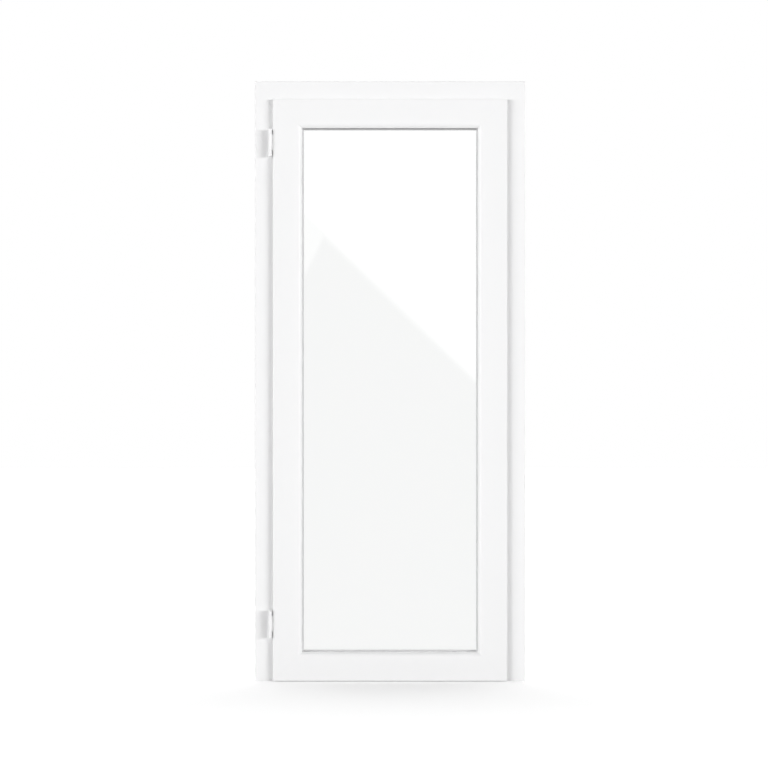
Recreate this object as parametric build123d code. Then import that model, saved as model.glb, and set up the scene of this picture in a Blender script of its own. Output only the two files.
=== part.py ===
from build123d import *
import os

# A single-leaf aluminium patio door in its frame, glazed full height and opening inwards.
#
# X runs across the door from the hinge side to the lock side, Y runs through it from the room
# to the outside, and Z is up. The origin is on the underside of the threshold, in the middle
# of the door and halfway through the frame. All lengths are in millimetres.
#
# The frame and the leaf are thermally broken profiles: a hollow aluminium shell on the room
# side, a second one outside, and two plastic strips crimped between them. Each profile is
# drawn once as a section. In a section, u runs from the profile's outer edge towards the
# middle of the door, and v is the same as Y. The section is extruded along each side of the
# frame or leaf and cut at 45 degrees where two members meet.

# Whole door
FRAME_WIDTH = 900.0
FRAME_HEIGHT = 2000.0
FRAME_DEPTH = 65.0
FRAME_SIGHT = 60.0  # frame that shows beside the closed leaf
LEAF_FACE = 103.0  # leaf profile that shows, from its edge to the glass
LEAF_PROUD = 18.0  # step from the frame's room face to the leaf's
LEAF_SETBACK = 3.0  # step from the frame's outside face back to the leaf's
FLOOR_GAP = 2.0  # below the leaf

# Profiles
SHELL_WALL = 2.0
EDGE_ROUND = 0.8
FRONT_EDGE_ROUND = 2.5  # outer edge of the frame on the room side
LEAF_EDGE_ROUND = 2.0
FRAME_INNER_DEPTH = 21.0
FRAME_OUTER_DEPTH = 22.0
LEAF_INNER_DEPTH = 36.0
LEAF_OUTER_DEPTH = 20.0
LIP_OVERLAP = 8.0  # leaf lip over the frame's room face
LIP_GAP = 5.0  # between the lip's back and the frame
REBATE_GAP = 12.0  # between the leaf's body and the frame's inner shell
NOSE_GAP = 8.0  # between the leaf's outer shell and the frame's nose
NOSE_WIDTH = 21.0  # the frame's outer shell beyond its inner shell

# Plastic strips between the shells
STRIP_THICKNESS = 2.0
STRIP_FOOT = 4.0
STRIP_FOOT_DEPTH = 1.6
STRIP_NECK = 1.2  # metal that grips the strip in front of its foot
STRIP_PAD = 8.0
FRAME_STRIP_INSET = 8.0
LEAF_STRIP_INSET = 7.0

# Hardware groove round the leaf
GROOVE_WIDTH = 16.0
GROOVE_DEPTH = 3.0
GROOVE_FROM_LIP = 3.5

# Glazing
GLASS_THICKNESS = 8.0
CAVITY = 20.0
GLASS_EDGE_GAP = 5.0
GLAZING_GASKET = 4.0
GASKET_SIGHT = 5.5  # gasket that shows beside the bead
GASKET_SLOPE = 3.0  # width of the gasket's slanted edge
GASKET_EDGE = 0.8
BEAD_WIDTH = 16.5
BEAD_PROUD = 7.0  # bead's ridge above the leaf's room face
BEAD_RIDGE = 2.0
BEAD_WALL = 1.5
LEG_WIDTH = 13.0  # leg outside that the glass is bedded against
LEG_GASKET_SIGHT = 2.0
SPACER_HEIGHT = 7.0
SPACER_INSET = 2.0

# Rubber seals
SEAL_CLEARANCE = 0.3
SEAL_MOUTH = 3.0
SEAL_FOOT = 5.0
SEAL_NECK = 1.2
SEAL_FOOT_DEPTH = 1.6
SEAL_PAD = 9.0
LIP_SEAL_INSET = 7.0
CENTRE_SEAL_INSET = 5.0  # from the end of the frame's nose
CENTRE_SEAL_BULB = 4.0
CENTRE_SEAL_STEM = 3.0
LIP_SEAL_PAD = 1.0
LIP_SEAL_LEAF = 1.6

# Threshold
THRESHOLD_HEIGHT = 17.0
RAIL_HEIGHT = 7.0
RAIL_SLOPE = 3.0
RAIL_WALL = 2.0
RAIL_GROOVES = 5  # against slipping, along the inner rail
RAIL_GROOVE_WIDTH = 1.6
RAIL_GROOVE_DEPTH = 0.8
CORE_WALL = 2.0
CORE_RIB = 5.0

# Weather bar across the foot of the leaf, outside
BAR_TOP = 24.0  # above the lower edge of the leaf's outer shell
BAR_REACH = 16.0
BAR_WALL = 2.0
BAR_NOSE = 14.0
BAR_CLEARANCE = 5.0  # above the threshold
BAR_END_GAP = 8.0  # short of each end of the leaf's outer shell

# Brush seal under the leaf
BRUSH_BASE = 8.0
BRUSH_BASE_DEPTH = 2.6
BRUSH_THICKNESS = 3.0
BRUSH_CLEARANCE = 0.4
BRUSH_END_GAP = 2.0

# Hinges
HINGE_LENGTH = 90.0
HINGE_FROM_FLOOR = 146.0  # lower edge of the lower hinge
HINGE_FROM_TOP = 161.0  # upper edge of the upper hinge
KNUCKLE_RADIUS = 6.0
PIN_RADIUS = 3.0
PIN_CLEARANCE = 0.05
PIN_FROM_EDGE = 9.3  # from the leaf's edge out to the pin's axis
PIN_PROUD = 4.0  # from the leaf's room face to the pin's axis
TOP_KNUCKLE = 16.7
BOTTOM_KNUCKLE = 20.0
KNUCKLE_GAP = 0.4
HINGE_PLATE = 3.0
HINGE_PLATE_TUCK = 3.0  # frame plate behind the leaf's lip
HINGE_WEB = 3.3  # web's face on the leaf side, from the pin's axis
LEAF_PLATE = 2.8
LEAF_ARM = 4.0

# Lock
PLATE_THICKNESS = 2.5
PLATE_CLEARANCE = 0.2
CAM_RADIUS = 5.5
CAM_HEIGHT = 4.5
CAM_COLLAR = 1.2
CAM_NECK_RADIUS = 3.5
CAM_FROM_ENDS = 330.0  # lowest and highest cam from the frame's ends
STRIKE_THICKNESS = 2.0
STRIKE_WIDTH = 18.0
STRIKE_LENGTH = 110.0
STRIKE_SLOT_WIDTH = 9.0
STRIKE_SLOT_LENGTH = 46.0
FACEPLATE_END_GAP = 60.0

# Screw holes for fixing the jambs to the wall
FIXING_RADIUS = 4.0
FIXINGS_FROM_FLOOR = (250.0, 700.0)
FIXINGS_FROM_TOP = (750.0, 350.0)

# Places that follow from the sizes above
HALF_WIDTH = FRAME_WIDTH / 2
FRAME_FRONT = -FRAME_DEPTH / 2
FRAME_BACK = FRAME_DEPTH / 2
FRAME_INNER_BACK = FRAME_FRONT + FRAME_INNER_DEPTH
FRAME_OUTER_FRONT = FRAME_BACK - FRAME_OUTER_DEPTH
LEAF_FRONT = FRAME_FRONT - LEAF_PROUD
LEAF_BACK = FRAME_BACK - LEAF_SETBACK
LEAF_INNER_BACK = LEAF_FRONT + LEAF_INNER_DEPTH
LEAF_OUTER_FRONT = LEAF_BACK - LEAF_OUTER_DEPTH
LIP_BACK = FRAME_FRONT - LIP_GAP
FRAME_INNER_WIDTH = FRAME_SIGHT + LIP_OVERLAP
FRAME_OUTER_WIDTH = FRAME_INNER_WIDTH + NOSE_WIDTH
LIP_WIDTH = LIP_OVERLAP + REBATE_GAP
LEAF_OUTER_START = FRAME_OUTER_WIDTH + NOSE_GAP - FRAME_SIGHT
BEAD_END = LEAF_FACE - GASKET_SIGHT
BEAD_START = BEAD_END - BEAD_WIDTH
GLASS_START = BEAD_START + GLASS_EDGE_GAP
BEAD_FRONT = LEAF_FRONT - BEAD_PROUD
COVE_WIDTH = BEAD_WIDTH - BEAD_RIDGE
COVE_RADIUS = (COVE_WIDTH**2 + BEAD_PROUD**2) / (2 * BEAD_PROUD)
LEG_END = BEAD_START + LEG_WIDTH
OUTER_PANE_BACK = LEAF_OUTER_FRONT - GLAZING_GASKET
OUTER_PANE_FRONT = OUTER_PANE_BACK - GLASS_THICKNESS
INNER_PANE_BACK = OUTER_PANE_FRONT - CAVITY
INNER_PANE_FRONT = INNER_PANE_BACK - GLASS_THICKNESS
BEAD_BACK = INNER_PANE_FRONT - GLAZING_GASKET
GASKET_START = GLASS_START + SPACER_INSET
LEAF_HALF_WIDTH = HALF_WIDTH - FRAME_SIGHT
LEAF_BOTTOM = FLOOR_GAP
LEAF_TOP = FRAME_HEIGHT - FRAME_SIGHT
GROOVE_FRONT = LIP_BACK + GROOVE_FROM_LIP
GROOVE_MIDDLE = GROOVE_FRONT + GROOVE_WIDTH / 2
PIN_X = -LEAF_HALF_WIDTH - PIN_FROM_EDGE
PIN_Y = LEAF_FRONT - PIN_PROUD
LEAF_BODY_EDGE = LEAF_HALF_WIDTH - LIP_WIDTH
REBATE_WALL = HALF_WIDTH - FRAME_INNER_WIDTH
FRAME_STRIPS = (FRAME_STRIP_INSET, FRAME_INNER_WIDTH - FRAME_STRIP_INSET)
LEAF_STRIPS = (LEAF_OUTER_START + LEAF_STRIP_INSET, BEAD_START - LEAF_STRIP_INSET)
CENTRE_SEAL_U = FRAME_OUTER_WIDTH - CENTRE_SEAL_INSET
HINGE_BOTTOMS = {
    "upper": FRAME_HEIGHT - HINGE_FROM_TOP - HINGE_LENGTH,
    "lower": HINGE_FROM_FLOOR,
}
CAM_HEIGHTS = (CAM_FROM_ENDS, FRAME_HEIGHT / 2, FRAME_HEIGHT - CAM_FROM_ENDS)
FIXING_HEIGHTS = (*FIXINGS_FROM_FLOOR, *(FRAME_HEIGHT - drop for drop in FIXINGS_FROM_TOP))

SIDES = ("hinge", "head", "lock", "foot")


def block(u0, u1, v0, v1):
    """A rectangle of a section, from u0 to u1 and from v0 to v1."""
    return Pos((u0 + u1) / 2, (v0 + v1) / 2) * Rectangle(abs(u1 - u0), abs(v1 - v0))


def box(x0, x1, y0, y1, z0, z1):
    """A cuboid between two corners."""
    centre = Pos((x0 + x1) / 2, (y0 + y1) / 2, (z0 + z1) / 2)
    return centre * Box(x1 - x0, y1 - y0, z1 - z0)


def rounded(section, corners, radius):
    """The section with the corners at the given places rounded."""
    picked = [
        vertex
        for vertex in section.vertices()
        if any(abs(vertex.X - u) + abs(vertex.Y - v) < 0.01 for u, v in corners)
    ]
    return fillet(picked, radius)


def t_slot(u, face, inward, mouth, foot, neck, foot_depth):
    """A slot with a narrow mouth at v = face and a wider foot; inward is +1 or -1 along v."""
    middle = face + inward * neck
    opening = block(u - mouth / 2, u + mouth / 2, face, middle)
    return opening + block(u - foot / 2, u + foot / 2, middle, middle + inward * foot_depth)


def strip_slot(u, face, inward):
    """The slot that grips one edge of a plastic strip."""
    return t_slot(u, face, inward, STRIP_THICKNESS, STRIP_FOOT, STRIP_NECK, STRIP_FOOT_DEPTH)


def strip_pads(places, face, outward):
    """Thickened metal on a shell's face for the slots at the given places, less the slots."""
    depth = STRIP_NECK + STRIP_FOOT_DEPTH
    pads = Sketch()
    for u in places:
        pad = block(u - STRIP_PAD / 2, u + STRIP_PAD / 2, face, face + outward * depth)
        pads += pad - strip_slot(u, face + outward * depth, -outward)
    return pads


def strip_section(u, shell_face, other_face):
    """One plastic strip with a foot at each edge, between two shells' facing sides."""
    web = block(u - STRIP_THICKNESS / 2, u + STRIP_THICKNESS / 2, shell_face, other_face)
    near = block(u - STRIP_FOOT / 2, u + STRIP_FOOT / 2, shell_face, shell_face + STRIP_FOOT_DEPTH)
    far = block(u - STRIP_FOOT / 2, u + STRIP_FOOT / 2, other_face - STRIP_FOOT_DEPTH, other_face)
    return web + near + far


def side_planes(half_width, bottom, top):
    """For each side of a rectangle, its starting plane (u, v, along) and its length."""
    width = 2 * half_width
    height = top - bottom
    hinge = Plane((-half_width, 0, bottom), x_dir=(1, 0, 0), z_dir=(0, 0, 1))
    head = Plane((-half_width, 0, top), x_dir=(0, 0, -1), z_dir=(1, 0, 0))
    lock = Plane((half_width, 0, top), x_dir=(-1, 0, 0), z_dir=(0, 0, -1))
    foot = Plane((half_width, 0, bottom), x_dir=(0, 0, 1), z_dir=(-1, 0, 0))
    return {
        "hinge": (hinge, height),
        "head": (head, width),
        "lock": (lock, height),
        "foot": (foot, width),
    }


FRAME_SIDES = side_planes(HALF_WIDTH, 0.0, FRAME_HEIGHT)
LEAF_SIDES = side_planes(LEAF_HALF_WIDTH, LEAF_BOTTOM, LEAF_TOP)


def member(section, side, start_mitred=True, end_mitred=True, start_cut=0.0, end_cut=0.0):
    """A section extruded along one side, with 45-degree or square ends."""
    plane, length = side
    reach = 2 * LEAF_FACE
    over = reach / 2
    start = -over if start_mitred else start_cut
    end = length + over if end_mitred else length - end_cut
    outline = [
        (-over, start),
        (reach, reach if start_mitred else start_cut),
        (reach, length - reach if end_mitred else length - end_cut),
        (-over, end),
    ]
    bar = extrude(section, length)
    slab = extrude(Plane.XZ * make_face(Polyline(*outline, close=True)), reach, both=True)
    return plane.location * (bar & slab)


def frame_member(section, name, floor_cut=0.0):
    """A jamb, square at the floor, or the head."""
    jamb_start = name != "hinge"
    jamb_end = name != "lock"
    return member(section, FRAME_SIDES[name], jamb_start, jamb_end, floor_cut, floor_cut)


def leaf_ring(section):
    """A section carried all round the leaf as one closed piece."""
    ring = Part()
    for side in SIDES:
        ring += member(section, LEAF_SIDES[side])
    return ring


def one_solid(shape):
    """The shape's only solid."""
    solids = shape.solids()
    assert len(solids) == 1, f"expected one solid, found {len(solids)}"
    return solids[0]


def frame_inner_section():
    """The frame's room-side shell: a hollow box with grips for the strips."""
    shell = block(0, FRAME_INNER_WIDTH, FRAME_FRONT, FRAME_INNER_BACK)
    shell = rounded(shell, [(0, FRAME_FRONT)], FRONT_EDGE_ROUND)
    shell = rounded(shell, [(FRAME_INNER_WIDTH, FRAME_FRONT)], EDGE_ROUND)
    hollow = block(
        SHELL_WALL,
        FRAME_INNER_WIDTH - SHELL_WALL,
        FRAME_FRONT + SHELL_WALL,
        FRAME_INNER_BACK - SHELL_WALL,
    )
    hollow = rounded(hollow, [(SHELL_WALL, FRAME_FRONT + SHELL_WALL)], FRONT_EDGE_ROUND / 2)
    return shell - hollow + strip_pads(FRAME_STRIPS, FRAME_INNER_BACK, 1)


def frame_outer_section():
    """The frame's outer shell, with a nose that closes the rebate and carries the centre seal."""
    shell = block(0, FRAME_OUTER_WIDTH, FRAME_OUTER_FRONT, FRAME_BACK)
    corners = [(0, FRAME_BACK), (FRAME_OUTER_WIDTH, FRAME_BACK), (FRAME_OUTER_WIDTH, FRAME_OUTER_FRONT)]
    shell = rounded(shell, corners, EDGE_ROUND)
    inner_web = FRAME_INNER_WIDTH
    front = FRAME_OUTER_FRONT + SHELL_WALL
    back = FRAME_BACK - SHELL_WALL
    seal_floor = FRAME_OUTER_FRONT + SEAL_NECK + SEAL_FOOT_DEPTH + SHELL_WALL
    shell -= block(SHELL_WALL, inner_web - SHELL_WALL / 2, front, back)
    nose = block(inner_web + SHELL_WALL / 2, FRAME_OUTER_WIDTH - SHELL_WALL, front, back)
    pad = block(CENTRE_SEAL_U - SEAL_PAD / 2, FRAME_OUTER_WIDTH, FRAME_OUTER_FRONT, seal_floor)
    shell -= nose - pad
    slot = t_slot(
        CENTRE_SEAL_U, FRAME_OUTER_FRONT, 1, SEAL_MOUTH, SEAL_FOOT, SEAL_NECK, SEAL_FOOT_DEPTH
    )
    shell -= slot
    return shell + strip_pads(FRAME_STRIPS, FRAME_OUTER_FRONT, -1)


def leaf_inner_section():
    """The leaf's room-side shell: a lip that laps the frame, and the main chamber."""
    lip = block(0, LIP_WIDTH, LEAF_FRONT, LIP_BACK)
    body = block(LIP_WIDTH, BEAD_START, LEAF_FRONT, LEAF_INNER_BACK)
    shell = rounded(lip + body, [(0, LEAF_FRONT)], LEAF_EDGE_ROUND)
    shell = rounded(shell, [(0, LIP_BACK), (LIP_WIDTH, LEAF_INNER_BACK)], EDGE_ROUND)
    seal_floor = LIP_BACK - SEAL_NECK - SEAL_FOOT_DEPTH - SHELL_WALL
    groove_end = LIP_WIDTH + GROOVE_DEPTH
    front = LEAF_FRONT + SHELL_WALL
    shell -= block(SHELL_WALL, groove_end + SHELL_WALL, front, seal_floor)
    shell -= block(
        groove_end + SHELL_WALL, BEAD_START - SHELL_WALL, front, LEAF_INNER_BACK - SHELL_WALL
    )
    shell -= block(LIP_WIDTH, groove_end, GROOVE_FRONT, GROOVE_FRONT + GROOVE_WIDTH)
    shell -= t_slot(
        LIP_SEAL_INSET, LIP_BACK, -1, SEAL_MOUTH, SEAL_FOOT, SEAL_NECK, SEAL_FOOT_DEPTH
    )
    return shell + strip_pads(LEAF_STRIPS, LEAF_INNER_BACK, 1)


def leaf_outer_section():
    """The leaf's outer shell: a chamber, and a leg that the glass is bedded against."""
    shell = block(LEAF_OUTER_START, LEG_END, LEAF_OUTER_FRONT, LEAF_BACK)
    shell = rounded(shell, [(LEAF_OUTER_START, LEAF_BACK), (LEG_END, LEAF_BACK)], EDGE_ROUND)
    front = LEAF_OUTER_FRONT + SHELL_WALL
    back = LEAF_BACK - SHELL_WALL
    shell -= block(LEAF_OUTER_START + SHELL_WALL, BEAD_START - SHELL_WALL, front, back)
    shell -= block(BEAD_START, LEG_END - SHELL_WALL, front, back)
    return shell + strip_pads(LEAF_STRIPS, LEAF_OUTER_FRONT, -1)


def bead_section():
    """The glazing bead: a hollow box whose front sweeps up in a cove to a ridge by the glass."""
    bead = block(BEAD_START, BEAD_END, BEAD_FRONT, BEAD_BACK)
    bead -= Pos(BEAD_START, LEAF_FRONT - COVE_RADIUS) * Circle(COVE_RADIUS)
    bead = rounded(bead, [(BEAD_END, BEAD_FRONT)], EDGE_ROUND)
    left = BEAD_START + BEAD_WALL
    right = BEAD_END - BEAD_WALL
    front = LEAF_FRONT + BEAD_WALL
    back = BEAD_BACK - BEAD_WALL
    hollow = [
        (left, front),
        ((left + right) / 2, front),
        (right, BEAD_FRONT + 2 * BEAD_WALL),
        (right, back),
        (left, back),
    ]
    return bead - make_face(Polyline(*hollow, close=True))


def bead_gasket_section():
    """The wedge of rubber between the bead and the room-side pane, with a slanted edge."""
    outline = [
        (GASKET_START, BEAD_BACK),
        (LEAF_FACE - GASKET_SLOPE, BEAD_BACK),
        (LEAF_FACE, INNER_PANE_FRONT - GASKET_EDGE),
        (LEAF_FACE, INNER_PANE_FRONT),
        (GASKET_START, INNER_PANE_FRONT),
    ]
    return make_face(Polyline(*outline, close=True))


def frame_profiles(parts):
    """The jambs and the head, each as two shells and two strips."""
    names = {"hinge": "hinge_jamb", "lock": "lock_jamb", "head": "head"}
    for side, name in names.items():
        inner = frame_member(frame_inner_section(), side)
        if side != "head":
            inner = inner - fixing_holes(side)
        parts[f"{name}_inner_shell"] = one_solid(inner)
        parts[f"{name}_outer_shell"] = one_solid(frame_member(frame_outer_section(), side))
        strips = [
            one_solid(frame_member(strip_section(u, FRAME_INNER_BACK, FRAME_OUTER_FRONT), side))
            for u in FRAME_STRIPS
        ]
        parts[f"{name}_thermal_break"] = Compound(children=strips)


def fixing_holes(side):
    """Screw holes across a jamb's inner shell, along X."""
    sign = -1 if side == "hinge" else 1
    middle = FRAME_FRONT + FRAME_INNER_DEPTH / 2
    x = sign * (HALF_WIDTH - FRAME_INNER_WIDTH / 2)
    holes = Part()
    for z in FIXING_HEIGHTS:
        drill = Rot(0, 90, 0) * Cylinder(FIXING_RADIUS, FRAME_INNER_WIDTH + SHELL_WALL)
        holes += Pos(x, middle, z) * drill
    return holes


def leaf_profiles(parts):
    """The four members of the leaf, each as two shells and two strips."""
    names = {"hinge": "hinge_stile", "lock": "lock_stile", "head": "top_rail", "foot": "bottom_rail"}
    for side, name in names.items():
        parts[f"{name}_inner_shell"] = one_solid(member(leaf_inner_section(), LEAF_SIDES[side]))
        parts[f"{name}_outer_shell"] = one_solid(member(leaf_outer_section(), LEAF_SIDES[side]))
        strips = [
            one_solid(member(strip_section(u, LEAF_INNER_BACK, LEAF_OUTER_FRONT), LEAF_SIDES[side]))
            for u in LEAF_STRIPS
        ]
        parts[f"{name}_thermal_break"] = Compound(children=strips)


def glazing(parts):
    """The sealed unit, its gaskets and the four mitred beads."""
    names = {"hinge": "hinge_side", "lock": "lock_side", "head": "top", "foot": "bottom"}
    for side, name in names.items():
        parts[f"{name}_glazing_bead"] = one_solid(member(bead_section(), LEAF_SIDES[side]))
    half = LEAF_HALF_WIDTH - GLASS_START
    low = LEAF_BOTTOM + GLASS_START
    high = LEAF_TOP - GLASS_START
    parts["room_side_pane"] = box(-half, half, INNER_PANE_FRONT, INNER_PANE_BACK, low, high)
    parts["outside_pane"] = box(-half, half, OUTER_PANE_FRONT, OUTER_PANE_BACK, low, high)
    spacer_end = GASKET_START + SPACER_HEIGHT
    spacer = block(GASKET_START, spacer_end, INNER_PANE_BACK, OUTER_PANE_FRONT)
    parts["glass_spacer"] = one_solid(leaf_ring(spacer))
    parts["room_side_glazing_gasket"] = one_solid(leaf_ring(bead_gasket_section()))
    leg_gasket_end = LEG_END + LEG_GASKET_SIGHT
    leg_gasket = block(GASKET_START, leg_gasket_end, OUTER_PANE_BACK, LEAF_OUTER_FRONT)
    parts["outside_glazing_gasket"] = one_solid(leaf_ring(leg_gasket))


def seals(parts):
    """The lip seal on the leaf, the centre seal on the frame and the brush under the leaf."""
    foot = t_slot(LIP_SEAL_INSET, LIP_BACK, -1, SEAL_MOUTH, SEAL_FOOT, SEAL_NECK, SEAL_FOOT_DEPTH)
    tip = FRAME_FRONT - SEAL_CLEARANCE
    half_pad = SEAL_FOOT / 2
    pad_back = LIP_BACK + LIP_SEAL_PAD
    pad = block(LIP_SEAL_INSET - half_pad, LIP_SEAL_INSET + half_pad, LIP_BACK, pad_back)
    blade = block(LIP_SEAL_INSET, LIP_SEAL_INSET + LIP_SEAL_LEAF, LIP_BACK, tip)
    parts["leaf_lip_seal"] = one_solid(leaf_ring(foot + pad + blade))

    slot = t_slot(
        CENTRE_SEAL_U, FRAME_OUTER_FRONT, 1, SEAL_MOUTH, SEAL_FOOT, SEAL_NECK, SEAL_FOOT_DEPTH
    )
    bulb_middle = LEAF_INNER_BACK + SEAL_CLEARANCE + CENTRE_SEAL_BULB
    half_stem = CENTRE_SEAL_STEM / 2
    stem = block(CENTRE_SEAL_U - half_stem, CENTRE_SEAL_U + half_stem, bulb_middle, FRAME_OUTER_FRONT)
    bulb = Pos(CENTRE_SEAL_U, bulb_middle) * Circle(CENTRE_SEAL_BULB)
    hollow = Pos(CENTRE_SEAL_U, bulb_middle) * Circle(CENTRE_SEAL_BULB / 2)
    section = slot + stem + bulb - hollow
    centre = Part()
    for side in ("hinge", "head", "lock"):
        centre += frame_member(section, side, THRESHOLD_HEIGHT + SEAL_CLEARANCE)
    parts["frame_centre_seal"] = one_solid(centre)

    half = LEAF_BODY_EDGE - BRUSH_END_GAP
    edge = LEAF_BOTTOM + LIP_WIDTH
    groove_floor = edge + GROOVE_DEPTH
    tip = THRESHOLD_HEIGHT + BRUSH_CLEARANCE
    base = box(
        -half,
        half,
        GROOVE_MIDDLE - BRUSH_BASE / 2,
        GROOVE_MIDDLE + BRUSH_BASE / 2,
        groove_floor - BRUSH_BASE_DEPTH,
        groove_floor,
    )
    pile = box(
        -half,
        half,
        GROOVE_MIDDLE - BRUSH_THICKNESS / 2,
        GROOVE_MIDDLE + BRUSH_THICKNESS / 2,
        tip,
        groove_floor,
    )
    parts["bottom_brush_seal"] = one_solid(base + pile)


def across(section, half_length):
    """A section drawn in Y and Z, extruded across the door."""
    return extrude(Plane.YZ * section, half_length, both=True)


def threshold(parts):
    """A plastic core on the floor with an aluminium rail on each side of its middle rib."""
    core_top = THRESHOLD_HEIGHT - RAIL_HEIGHT
    core = block(FRAME_FRONT, FRAME_BACK, 0, core_top)
    rib = CORE_RIB / 2
    for y0, y1 in ((FRAME_FRONT, -rib), (-rib, rib), (rib, FRAME_BACK)):
        half_wall = CORE_WALL / 2
        left = y0 + (CORE_WALL if y0 == FRAME_FRONT else half_wall)
        right = y1 - (CORE_WALL if y1 == FRAME_BACK else half_wall)
        core -= block(left, right, CORE_WALL, core_top - CORE_WALL)
    core += block(-rib, rib, core_top, THRESHOLD_HEIGHT)
    parts["threshold_core"] = one_solid(notched(across(core, REBATE_WALL)))

    inner = block(FRAME_FRONT, -rib, core_top, THRESHOLD_HEIGHT)
    inner = rounded(inner, [(FRAME_FRONT, THRESHOLD_HEIGHT)], EDGE_ROUND)
    inner -= block(FRAME_FRONT + RAIL_WALL, -rib - RAIL_WALL, core_top, THRESHOLD_HEIGHT - RAIL_WALL)
    inner -= rail_grooves(FRAME_FRONT, -rib)
    parts["threshold_inner_rail"] = one_solid(across(inner, REBATE_WALL))

    low = THRESHOLD_HEIGHT - RAIL_SLOPE
    outer = [(rib, core_top), (rib, THRESHOLD_HEIGHT), (FRAME_BACK, low), (FRAME_BACK, core_top)]
    hollow = [
        (rib + RAIL_WALL, core_top),
        (rib + RAIL_WALL, THRESHOLD_HEIGHT - RAIL_WALL),
        (FRAME_BACK - RAIL_WALL, low - RAIL_WALL),
        (FRAME_BACK - RAIL_WALL, core_top),
    ]
    rail = make_face(Polyline(*outer, close=True)) - make_face(Polyline(*hollow, close=True))
    parts["threshold_outer_rail"] = one_solid(notched(across(rail, REBATE_WALL)))


def rail_grooves(front, back):
    """Evenly spaced grooves in the top of a rail that spans from front to back."""
    floor = THRESHOLD_HEIGHT - RAIL_GROOVE_DEPTH
    step = (back - front) / (RAIL_GROOVES + 1)
    grooves = Sketch()
    for number in range(1, RAIL_GROOVES + 1):
        near = front + number * step - RAIL_GROOVE_WIDTH / 2
        grooves += block(near, near + RAIL_GROOVE_WIDTH, floor, THRESHOLD_HEIGHT)
    return grooves


def notched(bar):
    """A threshold piece cut away at both ends round the noses of the jambs."""
    nose_edge = HALF_WIDTH - FRAME_OUTER_WIDTH
    for x0, x1 in ((-REBATE_WALL, -nose_edge), (nose_edge, REBATE_WALL)):
        bar -= box(x0, x1, FRAME_OUTER_FRONT, FRAME_BACK, 0, THRESHOLD_HEIGHT)
    return bar


def weather_bar(parts):
    """A folded aluminium drip bar on the leaf's outside face, over the threshold."""
    foot = LEAF_BOTTOM + LEAF_OUTER_START
    top = foot + BAR_TOP
    tip = THRESHOLD_HEIGHT + BAR_CLEARANCE
    face = LEAF_BACK
    nose = face + BAR_REACH
    shoulder = tip + BAR_NOSE
    outline = [
        (face, foot),
        (face, top),
        (face + BAR_WALL, top),
        (nose, shoulder),
        (nose, tip),
        (nose - BAR_WALL, tip),
        (nose - BAR_WALL, shoulder - BAR_WALL / 2),
        (face + BAR_WALL, top - 2 * BAR_WALL),
        (face + BAR_WALL, foot),
    ]
    section = make_face(Polyline(*outline, close=True))
    half = LEAF_HALF_WIDTH - LEAF_OUTER_START - BAR_END_GAP
    parts["weather_bar"] = one_solid(across(section, half))


def knuckle(z0, z1):
    """One barrel of a hinge round the pin."""
    return Pos(PIN_X, PIN_Y, (z0 + z1) / 2) * Cylinder(KNUCKLE_RADIUS, z1 - z0)


def pin_bore(z0):
    """The bore through all three barrels of the hinge that starts at z0."""
    return Pos(PIN_X, PIN_Y, z0 + HINGE_LENGTH / 2) * Cylinder(PIN_RADIUS + PIN_CLEARANCE, HINGE_LENGTH)


def hinge_frame_part(z0):
    """The plate on the frame's face with the top and bottom barrels."""
    left = PIN_X - KNUCKLE_RADIUS
    plate_right = -LEAF_HALF_WIDTH + HINGE_PLATE_TUCK
    z1 = z0 + HINGE_LENGTH
    body = box(left, plate_right, FRAME_FRONT - HINGE_PLATE, FRAME_FRONT, z0, z1)
    for low, high in ((z0, z0 + BOTTOM_KNUCKLE), (z1 - TOP_KNUCKLE, z1)):
        body += knuckle(low, high)
        body += box(left, PIN_X + HINGE_WEB, PIN_Y, FRAME_FRONT, low, high)
    return one_solid(body - pin_bore(z0))


def hinge_leaf_part(z0):
    """The middle barrel with its arm and the plate on the leaf's edge."""
    low = z0 + BOTTOM_KNUCKLE + KNUCKLE_GAP
    high = z0 + HINGE_LENGTH - TOP_KNUCKLE - KNUCKLE_GAP
    edge = -LEAF_HALF_WIDTH
    arm_front = LEAF_FRONT - PIN_PROUD / 2
    body = knuckle(low, high)
    body += box(PIN_X, edge, arm_front, arm_front + LEAF_ARM, low, high)
    body += box(edge - LEAF_PLATE, edge, arm_front, LIP_BACK - EDGE_ROUND, low, high)
    return one_solid(body - pin_bore(z0))


def hinges(parts):
    """Two hinges, each with a frame part, a leaf part and a pin."""
    pins = []
    for name, z0 in HINGE_BOTTOMS.items():
        parts[f"{name}_hinge_frame_part"] = hinge_frame_part(z0)
        parts[f"{name}_hinge_leaf_part"] = hinge_leaf_part(z0)
        pins.append(Pos(PIN_X, PIN_Y, z0 + HINGE_LENGTH / 2) * Cylinder(PIN_RADIUS, HINGE_LENGTH))
    parts["hinge_pins"] = Compound(children=pins)


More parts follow.
